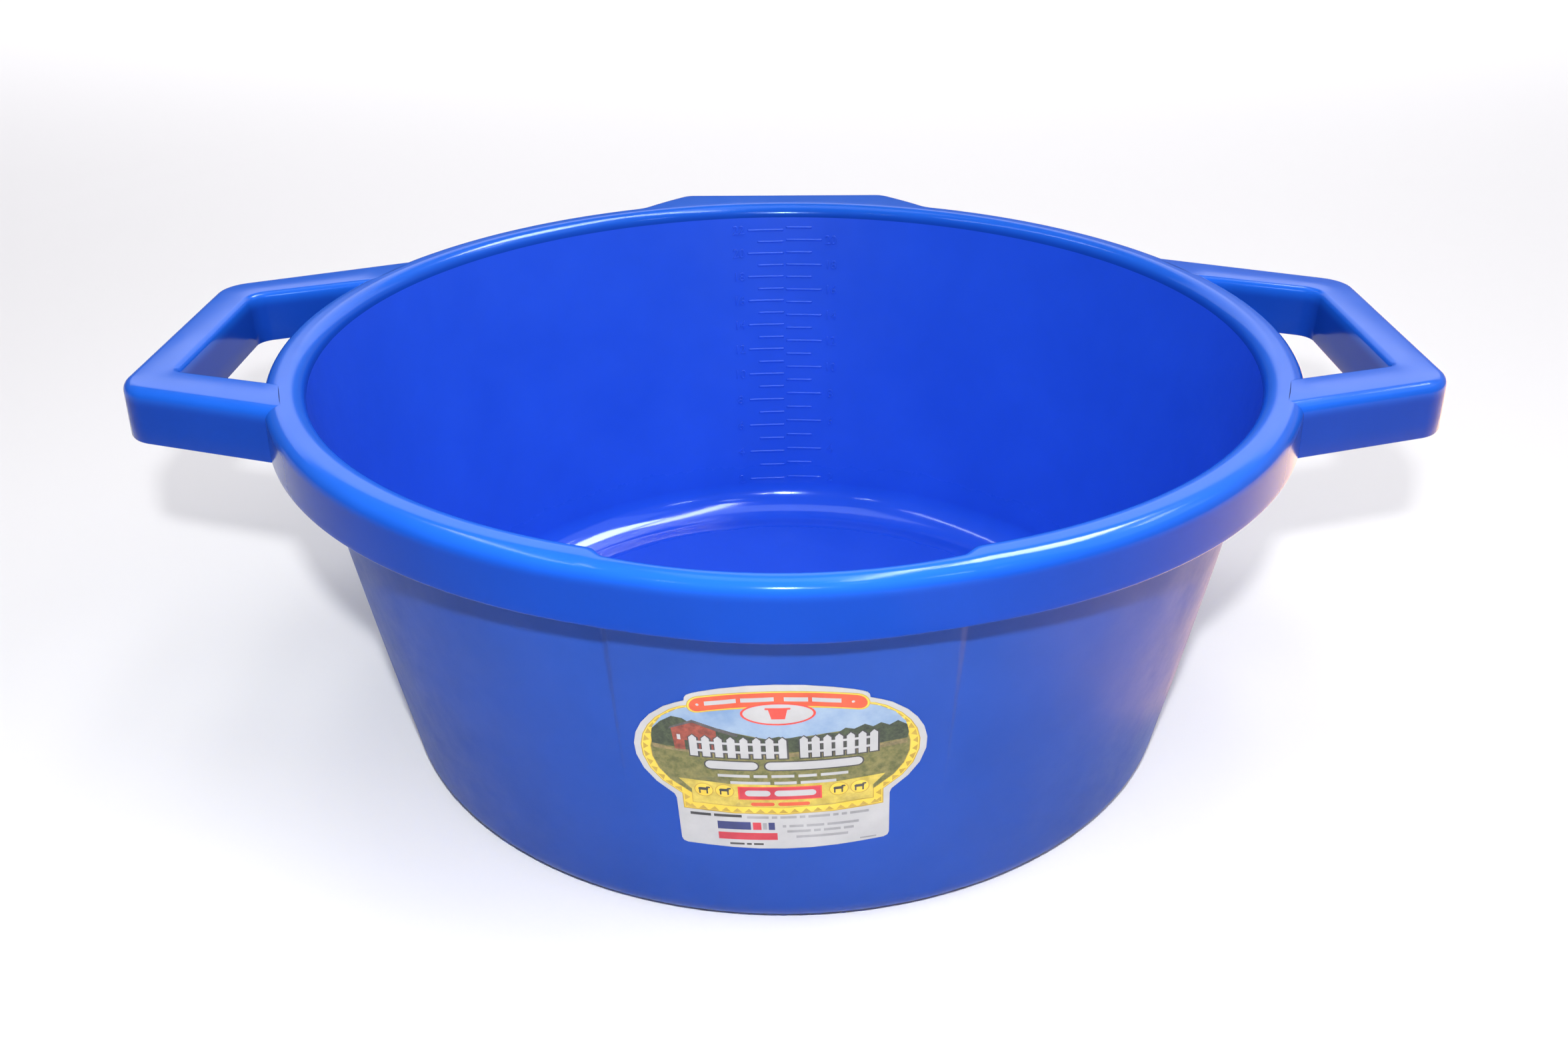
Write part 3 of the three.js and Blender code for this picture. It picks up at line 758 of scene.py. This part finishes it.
    regions += picket_fence(-33.0, 2.6, 7.6, 18.8) + picket_fence(7.4, 35.8, 7.6, 19.2)
    for left, right in ((-27.8, -8.4), (-5.6, 30.2)):
        middle, half = (left + right) / 2, (right - left) / 2
        regions += [("ink", capsule(middle, 3.4, half + 0.6, 5.4)),
                    ("paper", capsule(middle, 3.4, half, 4.2))]
    regions += words("paper", -23.6, 24.8, -3.0, -1.5, (7, 3, 5, 4, 6), 1.5)
    regions += words("paper", -19.1, 20.3, -6.7, -5.2, (9, 5, 8), 1.5)
    regions += [("red", bar(-16.6, 14.8, -15.3, -8.1)), ("crimson", bar(-16.0, 14.2, -14.8, -8.6))]
    regions += [("paper", capsule(-9.2, -11.7, 4.8, 3.2)), ("paper", capsule(4.9, -11.7, 7.8, 3.2)),
                ("banner", capsule(-7.6, -17.8, 4.5, 2.0)), ("banner", capsule(4.2, -17.8, 6.0, 2.0))]
    for centre in (-29.5, -21.6, 21.2, 29.1):
        regions += [("gold", ellipse(centre, -10.9, 3.7, 3.7, 24)),
                    ("yellow", ellipse(centre, -10.9, 3.3, 3.3, 24)),
                    ("ink", capsule(centre - 0.2, -10.4, 1.9, 1.5)),
                    ("ink", capsule(centre + 1.7, -9.5, 0.8, 0.9)),
                    ("ink", bar(centre - 1.9, centre - 1.3, -13.0, -10.6)),
                    ("ink", bar(centre + 0.9, centre + 1.5, -13.0, -10.6))]

    regions += words("ink", -35.8, -16.0, -25.5, -24.0, (6, 8), 1.2)
    regions += words("grey", -14.0, 32.5, -26.0, -24.6, (8, 2, 6, 2, 8, 2, 2, 7), 1.2)
    regions.append(("navy", bar(-25.6, -12.8, -32.4, -28.0)))
    regions += [("crimson", bar(-12.0, -8.8, -32.4, -28.2)), ("grey", bar(-8.2, -6.6, -32.2, -28.4)),
                ("navy", bar(-6.0, -3.6, -32.4, -28.2))]
    regions.append(("crimson", bar(-25.6, -2.8, -38.2, -34.2)))
    regions += words("ink", -21.4, -8.4, -41.2, -40.1, (6, 2, 4), 0.9)
    for left, right, v, lengths in ((-0.6, 28.6, -30.4, (1, 4, 5, 9)), (1.0, 26.6, -33.4, (7, 2, 5, 3)),
                                    (4.4, 24.4, -36.6, (14,))):
        regions += words("grey", left, right, v - 0.7, v + 0.7, lengths, 1.2)
    regions += words("grey", 29.0, 35.4, -41.0, -40.2, (1,), 1)
    return regions


def on_label(u, v, height):
    """Where a place of the flat sticker comes to lie on the outside of the wall."""
    turn = math.radians(LABEL_TURN)
    across = u * math.cos(turn) - v * math.sin(turn) + LABEL_SHIFT
    up = u * math.sin(turn) + v * math.cos(turn)
    lean = wall_slope / slant
    reach = outer_radius(LABEL_HEIGHT) / lean + up
    azimuth = math.degrees(math.atan2(across, reach) / lean)
    z = LABEL_HEIGHT + (math.hypot(across, reach) - outer_radius(LABEL_HEIGHT) / lean) / slant
    return surface_point(azimuth, outer_radius(z) + height, z)


def label():
    """The sticker: a thin closed skin divided along the edges of its printed regions."""
    art = label_art()
    points, faces = [], []
    for _, polygon in art:
        turning = sum(a[0] * b[1] - b[0] * a[1] for a, b in zip(polygon, polygon[1:] + polygon[:1]))
        faces.append(list(range(len(points), len(points) + len(polygon))))
        points += [Vector(p) for p in (polygon if turning > 0 else reversed(polygon))]
    reach = max(abs(c) for p in art[0][1] for c in p)
    for u in np.arange(-reach, reach, LABEL_MESH):
        for v in np.arange(-reach, reach, LABEL_MESH):
            points.append(Vector((u, v)))
    cut = delaunay_2d_cdt(points, [], faces, 1, 1e-4, True)
    flat, triangles, sources = cut[0], cut[2], cut[5]
    kept = [(t, max(s)) for t, s in zip(triangles, sources) if s]
    count = len(flat)
    vertices = [on_label(*p, LABEL_THICKNESS) for p in flat] + [on_label(*p, LABEL_BACK) for p in flat]
    polygons = [tuple(t) for t, _ in kept] + [tuple(count + i for i in reversed(t)) for t, _ in kept]
    edges = dict.fromkeys(edge for t, _ in kept for edge in zip(t, t[1:] + t[:1]))
    polygons += [(b, a, count + a, count + b) for a, b in edges if (b, a) not in edges]
    mesh = bpy.data.meshes.new("front_label")
    mesh.from_pydata([tuple(np.array(p) * MM) for p in vertices], [], polygons)
    inks = list(INKS)
    for name in inks:
        mesh.materials.append(printed(name, *INKS[name]))
    inks_used = [inks.index(art[source][0]) for _, source in kept]
    for polygon, ink in zip(mesh.polygons, inks_used):
        polygon.material_index = ink
    bm = bmesh.new()
    bm.from_mesh(mesh)
    loose = [v for v in bm.verts if not v.link_faces]
    bmesh.ops.delete(bm, geom=loose, context="VERTS")
    bmesh.ops.recalc_face_normals(bm, faces=bm.faces)
    bm.to_mesh(mesh)
    bm.free()
    return show("front_label", mesh, LABEL_CREASE)


# ---- Materials ----


class Nodes:
    """Short calls for building one material's node tree."""

    def __init__(self, name):
        self.material = bpy.data.materials.new(name)
        self.material.use_nodes = True
        self.tree = self.material.node_tree
        self.shader = self.tree.nodes["Principled BSDF"]

    def add(self, kind, **settings):
        node = self.tree.nodes.new(kind)
        for key, value in settings.items():
            if key in node.inputs:
                node.inputs[key].default_value = value
            else:
                setattr(node, key, value)
        return node

    def link(self, source, target):
        self.tree.links.new(source, target)


def ramp(n, value, start, end, first, last):
    """A smooth change from first to last as a value in metres goes from start to end, in millimetres."""
    node = n.add("ShaderNodeMapRange", interpolation_type="SMOOTHSTEP")
    limits = {"From Min": start * MM, "From Max": end * MM, "To Min": first, "To Max": last}
    for socket, number in limits.items():
        node.inputs[socket].default_value = number
    n.link(value, node.inputs["Value"])
    return node.outputs["Result"]


def mottled(n, place, dark, light, ends, **noise):
    """A colour that drifts between two as a noise goes between its ends."""
    cloud = n.add("ShaderNodeTexNoise", **noise)
    n.link(place, cloud.inputs["Vector"])
    colors = n.add("ShaderNodeValToRGB")
    for element, position, color in zip(colors.color_ramp.elements, ends, (dark, light)):
        element.position = position
        element.color = (*color, 1)
    n.link(cloud.outputs["Fac"], colors.inputs["Fac"])
    return colors.outputs["Color"]


def smeared(n, place, low, high, ends, **noise):
    """A roughness that goes from low to high as a noise goes between its ends."""
    smears = n.add("ShaderNodeTexNoise", **noise)
    n.link(place, smears.inputs["Vector"])
    gloss = n.add("ShaderNodeMapRange")
    limits = {"From Min": ends[0], "From Max": ends[1], "To Min": low, "To Max": high}
    for socket, number in limits.items():
        gloss.inputs[socket].default_value = number
    n.link(smears.outputs["Fac"], gloss.inputs["Value"])
    return gloss.outputs["Result"]


def roughened(n, place, strength, **noise):
    """Gives the shader fine bumps, 0.2 mm high at full strength."""
    grain = n.add("ShaderNodeTexNoise", **noise)
    n.link(place, grain.inputs["Vector"])
    bump = n.add("ShaderNodeBump", Strength=strength, Distance=0.2 * MM)
    n.link(grain.outputs["Fac"], bump.inputs["Height"])
    n.link(bump.outputs["Normal"], n.shader.inputs["Normal"])


MIX_FACTOR, MIX_A, MIX_B, MIX_RESULT = 0, 6, 7, 2  # where a colour Mix node has its sockets
SKIRT_GLOSS = 0.55  # of what the rim's top reflects
SHADE_START = HEIGHT - RIM_EDGE - 1  # below this height the rim's colour is darkened as painted shade, and it reflects less
SHADE_END, GLOSS_END = HEIGHT - 0.5, HEIGHT - 2.5  # above these the painted shade and the lowered gloss have run out
DULL_HEIGHTS = (12, 45)  # the fillet's gloss fades into the wall's between these
DULL_RADII = (150, 160)  # and the floor's into the fillet's between these


def moulded_plastic(name, dark, light, gloss_range, specular, tint, dulled=None, painted_skirt_shade=None):
    """Polyethylene: faint cloudiness, orange peel, and scuffs that break up the gloss.

    dulled is how much rougher the bowl's wall and its floor are than the fillet between them, and
    painted_skirt_shade
    is painted shade: what the colour is multiplied by below the rim's rounded edge, so that the skirt and the
    handles' sides come out darker than the lit top; less is reflected there too.
    """
    n = Nodes(name)
    place = n.add("ShaderNodeTexCoord").outputs["Object"]
    split = n.add("ShaderNodeSeparateXYZ")
    n.link(place, split.inputs["Vector"])

    color = mottled(n, place, dark, light, (0.3, 0.7), Scale=14.0, Detail=4.0, Roughness=0.6)
    # Painted shade: below the rim's rounded edge the colour is darkened, standing in for the lesser light on
    # the skirt
    if painted_skirt_shade:
        shade = n.add("ShaderNodeMix", data_type="RGBA", blend_type="MULTIPLY")
        n.link(ramp(n, split.outputs["Z"], SHADE_START, SHADE_END, 1.0, 0.0), shade.inputs[MIX_FACTOR])
        n.link(color, shade.inputs[MIX_A])
        shade.inputs[MIX_B].default_value = (*painted_skirt_shade, 1)
        color = shade.outputs[MIX_RESULT]
        level = ramp(n, split.outputs["Z"], SHADE_START, GLOSS_END, specular * SKIRT_GLOSS, specular)
        n.link(level, n.shader.inputs["Specular IOR Level"])
    n.link(color, n.shader.inputs["Base Color"])

    roughness = smeared(n, place, *gloss_range, (0.35, 0.75), Scale=45.0, Detail=6.0, Roughness=0.7)
    if dulled:
        flat = n.add("ShaderNodeVectorMath", operation="MULTIPLY")
        flat.inputs[1].default_value = (1, 1, 0)
        n.link(place, flat.inputs[0])
        away = n.add("ShaderNodeVectorMath", operation="LENGTH")
        n.link(flat.outputs["Vector"], away.inputs[0])
        for dulling in (ramp(n, split.outputs["Z"], *DULL_HEIGHTS, 0.0, dulled[0]),
                        ramp(n, away.outputs["Value"], *DULL_RADII, dulled[1], 0.0)):
            both = n.add("ShaderNodeMath", operation="ADD")
            n.link(roughness, both.inputs[0])
            n.link(dulling, both.inputs[1])
            roughness = both.outputs["Value"]
    n.link(roughness, n.shader.inputs["Roughness"])

    roughened(n, place, 0.05, Scale=420.0, Detail=1.0)
    n.shader.inputs["IOR"].default_value = 1.5
    n.shader.inputs["Specular IOR Level"].default_value = specular
    n.shader.inputs["Specular Tint"].default_value = (*tint, 1)
    return n.material


# ink: its darkest and lightest colour, and the scale of the mottling between them
INKS = {
    "paper": ((0.38, 0.38, 0.385), (0.43, 0.43, 0.435), 60),
    "yellow": ((0.62, 0.43, 0.03), (0.70, 0.52, 0.06), 60),
    "gold": ((0.34, 0.22, 0.02), (0.44, 0.30, 0.04), 90),
    "banner": ((0.50, 0.06, 0.02), (0.60, 0.085, 0.03), 60),
    "red": ((0.55, 0.03, 0.02), (0.65, 0.06, 0.04), 60),
    "crimson": ((0.36, 0.012, 0.03), (0.50, 0.03, 0.05), 60),
    "sky": ((0.15, 0.25, 0.42), (0.27, 0.36, 0.48), 45),
    "trees": ((0.008, 0.015, 0.006), (0.045, 0.065, 0.025), 520),
    "grass": ((0.07, 0.08, 0.016), (0.19, 0.17, 0.05), 330),
    "olive": ((0.10, 0.085, 0.03), (0.26, 0.19, 0.08), 400),
    "straw": ((0.38, 0.29, 0.04), (0.58, 0.45, 0.07), 200),
    "barn": ((0.12, 0.018, 0.010), (0.32, 0.06, 0.03), 300),
    "roof": ((0.030, 0.030, 0.035), (0.09, 0.08, 0.08), 300),
    "ink": ((0.018, 0.018, 0.020), (0.040, 0.038, 0.040), 60),
    "navy": ((0.012, 0.018, 0.09), (0.02, 0.03, 0.14), 60),
    "grey": ((0.20, 0.20, 0.21), (0.30, 0.30, 0.31), 60),
}


def printed(name, dark, light, scale):
    """Ink under a thin clear film on paper."""
    n = Nodes("label_" + name)
    place = n.add("ShaderNodeTexCoord").outputs["Object"]
    color = mottled(n, place, dark, light, (0.35, 0.65), Scale=float(scale), Detail=5.0, Roughness=0.65)
    n.link(color, n.shader.inputs["Base Color"])
    worn = smeared(n, place, 0.28, 0.50, (0, 1), Scale=80.0, Detail=4.0)
    n.link(worn, n.shader.inputs["Roughness"])
    roughened(n, place, 0.06, Scale=900.0, Detail=3.0)
    return n.material


# ---- Build ----

# One blue in three copies: the rim's lighter, greener blue is a painted highlight, the outside's darker blue
# painted shade
inside = moulded_plastic("glossy_blue", (0.011, 0.066, 0.55), (0.014, 0.077, 0.61), (0.09, 0.17), 0.30,
                         (0.5, 0.7, 1.0), dulled=(0.25, 0.22))
flange = moulded_plastic("rim_blue", (0.010, 0.104, 0.58), (0.012, 0.117, 0.64), (0.12, 0.20), 0.20,
                         (0.4, 0.6, 1.0), painted_skirt_shade=(0.45, 0.38, 0.52))
# the outside's rougher satin finish is real; its darker colour is painted shade
outside = moulded_plastic("satin_blue_painted_shade", (0.010, 0.053, 0.30), (0.014, 0.063, 0.35), (0.38, 0.50), 0.12,
                          (0.9, 0.9, 1.0))

pieces = {
    bowl(): (inside, ("pan_floor", "foot_ring", "pan_wall")),
    rim(): (flange, ("rim", "rear_grip")),
    handle("handle_right", 1): (flange, ("right_handle",)),
    handle("handle_left", -1): (flange, ("left_handle",)),
    graduations(): (inside, ()),
}
for piece, (finish, nodes) in pieces.items():
    piece.data.materials.append(finish)
    if "pan_wall" in nodes:
        piece.data.materials.append(outside)
        # the bowl's outside takes the satin copy, whose darker blue is painted shade
        for polygon in piece.data.polygons:
            polygon.material_index = int(is_satin(polygon))
    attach(piece, "root")
    if nodes:
        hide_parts(*nodes)

sticker = label()
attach(sticker, "root")
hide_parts("front_label")


# ---- Stage ----


def stage_floor():
    """A plain pale floor, wide enough to fill the view."""
    half = 12  # metres
    mesh = bpy.data.meshes.new("floor")
    corners = [(-half, -half, 0), (half, -half, 0), (half, half, 0), (-half, half, 0)]
    mesh.from_pydata(corners, [], [(0, 1, 2, 3)])
    floor = bpy.data.objects.new("floor", mesh)
    bpy.context.scene.collection.objects.link(floor)
    n = Nodes("pale_floor")
    n.shader.inputs["Base Color"].default_value = (0.86, 0.86, 0.86, 1)
    n.shader.inputs["Specular IOR Level"].default_value = 0.0
    n.shader.inputs["Roughness"].default_value = 0.7
    mesh.materials.append(n.material)


def panel(name, width, depth, radiance, color, matrix, only_glints):
    """A rectangular lamp, facing down before matrix turns it; it can be left out of the diffuse light."""
    data = bpy.data.lights.new(name, "AREA")
    data.shape = "RECTANGLE"
    data.size = width
    data.size_y = depth
    data.energy = radiance * math.pi * width * depth
    data.color = color
    light = bpy.data.objects.new(name, data)
    light.matrix_world = matrix
    light.visible_diffuse = not only_glints
    light.visible_camera = False
    bpy.context.scene.collection.objects.link(light)


def aimed(place):
    """Faces a lamp at a place towards the rim's centre."""
    away = Vector(place) - Vector((0, 0, HEIGHT * MM))
    return Matrix.Translation(place) @ away.to_track_quat("Z", "Y").to_matrix().to_4x4()


def glint(name, azimuth, elevation, width, depth, radiance, color=(1, 1, 1)):
    """A small far lamp that shows only as a highlight."""
    distance = 2.2
    a, e = math.radians(azimuth), math.radians(elevation)
    away = Vector((math.cos(e) * math.sin(a), -math.cos(e) * math.cos(a), math.sin(e)))
    panel(name, width, depth, radiance, color, aimed(away * distance + Vector((0, 0, HEIGHT * MM))), True)


def tube(name, start, end, width, radiance, color=(1, 1, 1)):
    """A long narrow lamp overhead, facing the rim's centre."""
    start, end = Vector(start), Vector(end)
    middle = (start + end) / 2
    along = (end - start).normalized()
    away = middle - Vector((0, 0, HEIGHT * MM))
    away = (away - along * away.dot(along)).normalized()
    face = Matrix((along, away.cross(along), away)).transposed().to_4x4()
    panel(name, (end - start).length, width, radiance, color, Matrix.Translation(middle) @ face, True)


def studio_world(low, high, sides):
    """Soft light from all round: colours at the horizon and overhead, and what each side adds."""
    scene_world = bpy.data.worlds.new("studio")
    scene_world.use_nodes = True
    tree = scene_world.node_tree
    direction = tree.nodes.new("ShaderNodeTexCoord").outputs["Generated"]
    background = tree.nodes["Background"]

    def facing(axis):
        """How far a direction points along an axis, from 0 to 1."""
        dot = tree.nodes.new("ShaderNodeVectorMath")
        dot.operation = "DOT_PRODUCT"
        dot.inputs[1].default_value = axis
        tree.links.new(direction, dot.inputs[0])
        clamp = tree.nodes.new("ShaderNodeClamp")
        tree.links.new(dot.outputs["Value"], clamp.inputs["Value"])
        return clamp.outputs["Result"]

    def blend(kind, factor, a, b):
        mix = tree.nodes.new("ShaderNodeMix")
        mix.data_type = "RGBA"
        mix.blend_type = kind
        tree.links.new(factor, mix.inputs[MIX_FACTOR])
        for socket, value in ((mix.inputs[MIX_A], a), (mix.inputs[MIX_B], b)):
            if isinstance(value, tuple):
                socket.default_value = (*value, 1)
            else:
                tree.links.new(value, socket)
        return mix.outputs[MIX_RESULT]

    color = blend("MIX", facing((0, 0, 1)), low, high)
    for axis, extra in sides:
        color = blend("ADD", facing(axis), color, extra)
    tree.links.new(color, background.inputs["Color"])
    bpy.context.scene.world = scene_world


def camera():
    """A camera in front of the spout, looking down into the bowl."""
    place = (0.0019, -0.6328, 0.4201)
    pitch, roll, yaw = 27.681, -0.349, -0.226  # degrees
    data = bpy.data.cameras.new("camera")
    data.sensor_width = 36
    data.lens = 33.295  # millimetres
    data.clip_start = 0.01
    obj = bpy.data.objects.new("camera", data)
    turn = (Matrix.Rotation(math.radians(-yaw), 4, "Z") @ Matrix.Rotation(math.radians(90 - pitch), 4, "X")
            @ Matrix.Rotation(math.radians(roll), 4, "Z"))
    obj.matrix_world = Matrix.Translation(place) @ turn
    bpy.context.scene.collection.objects.link(obj)
    bpy.context.scene.camera = obj


stage_floor()
studio_world((0.08, 0.08, 0.09), (0.46, 0.48, 0.54), [((1, 0, 0), (0.50, 0.36, 0.32))])
panel("front_key", 0.035, 0.028, 2100, (1, 1, 1), aimed((0.0, -0.66, 0.56)), False)
panel("right_fill", 1.2, 1.2, 1.8, (1, 1, 1), aimed((1.5, -0.2, 1.6)), False)
panel("overhead", 1.0, 1.0, 3.6, (1, 1, 1), Matrix.Translation((0, 0.2, 2.0)), False)
panel("background", 5.0, 2.0, 1.6, (1, 1, 1), Matrix.Translation((0, 2.6, 1.5)), False)
face_up = Matrix.Rotation(math.pi, 4, "X")
panel("warm_floor", 1.0, 1.6, 1.9, (1, 0.52, 0.20), Matrix.Translation((0.70, 0.1, 0.005)) @ face_up, True)
glint("front_spot", 8, 33, 0.05, 0.05, 450, (1, 0.85, 0.82))
glint("front_left", -31, 38, 0.16, 0.06, 60)
glint("front_right", 24, 50, 0.10, 0.05, 90)
glint("far_right", 40, 34, 0.25, 0.07, 50)
glint("side_right", 105, 44, 0.5, 0.06, 50)
tube("right_tube", (0.80, 0.1, 1.75), (0.80, 0.9, 1.75), 0.50, 60, (1, 0.94, 0.94))
tube("second_tube", (0.40, -0.7, 1.75), (0.40, 0.6, 1.75), 0.14, 55, (1, 0.88, 0.90))
tube("left_tube", (-1.0, -0.6, 1.75), (-1.0, 0.9, 1.75), 0.10, 25, (1, 0.90, 0.88))
camera()
bpy.context.scene.view_settings.view_transform = "Standard"
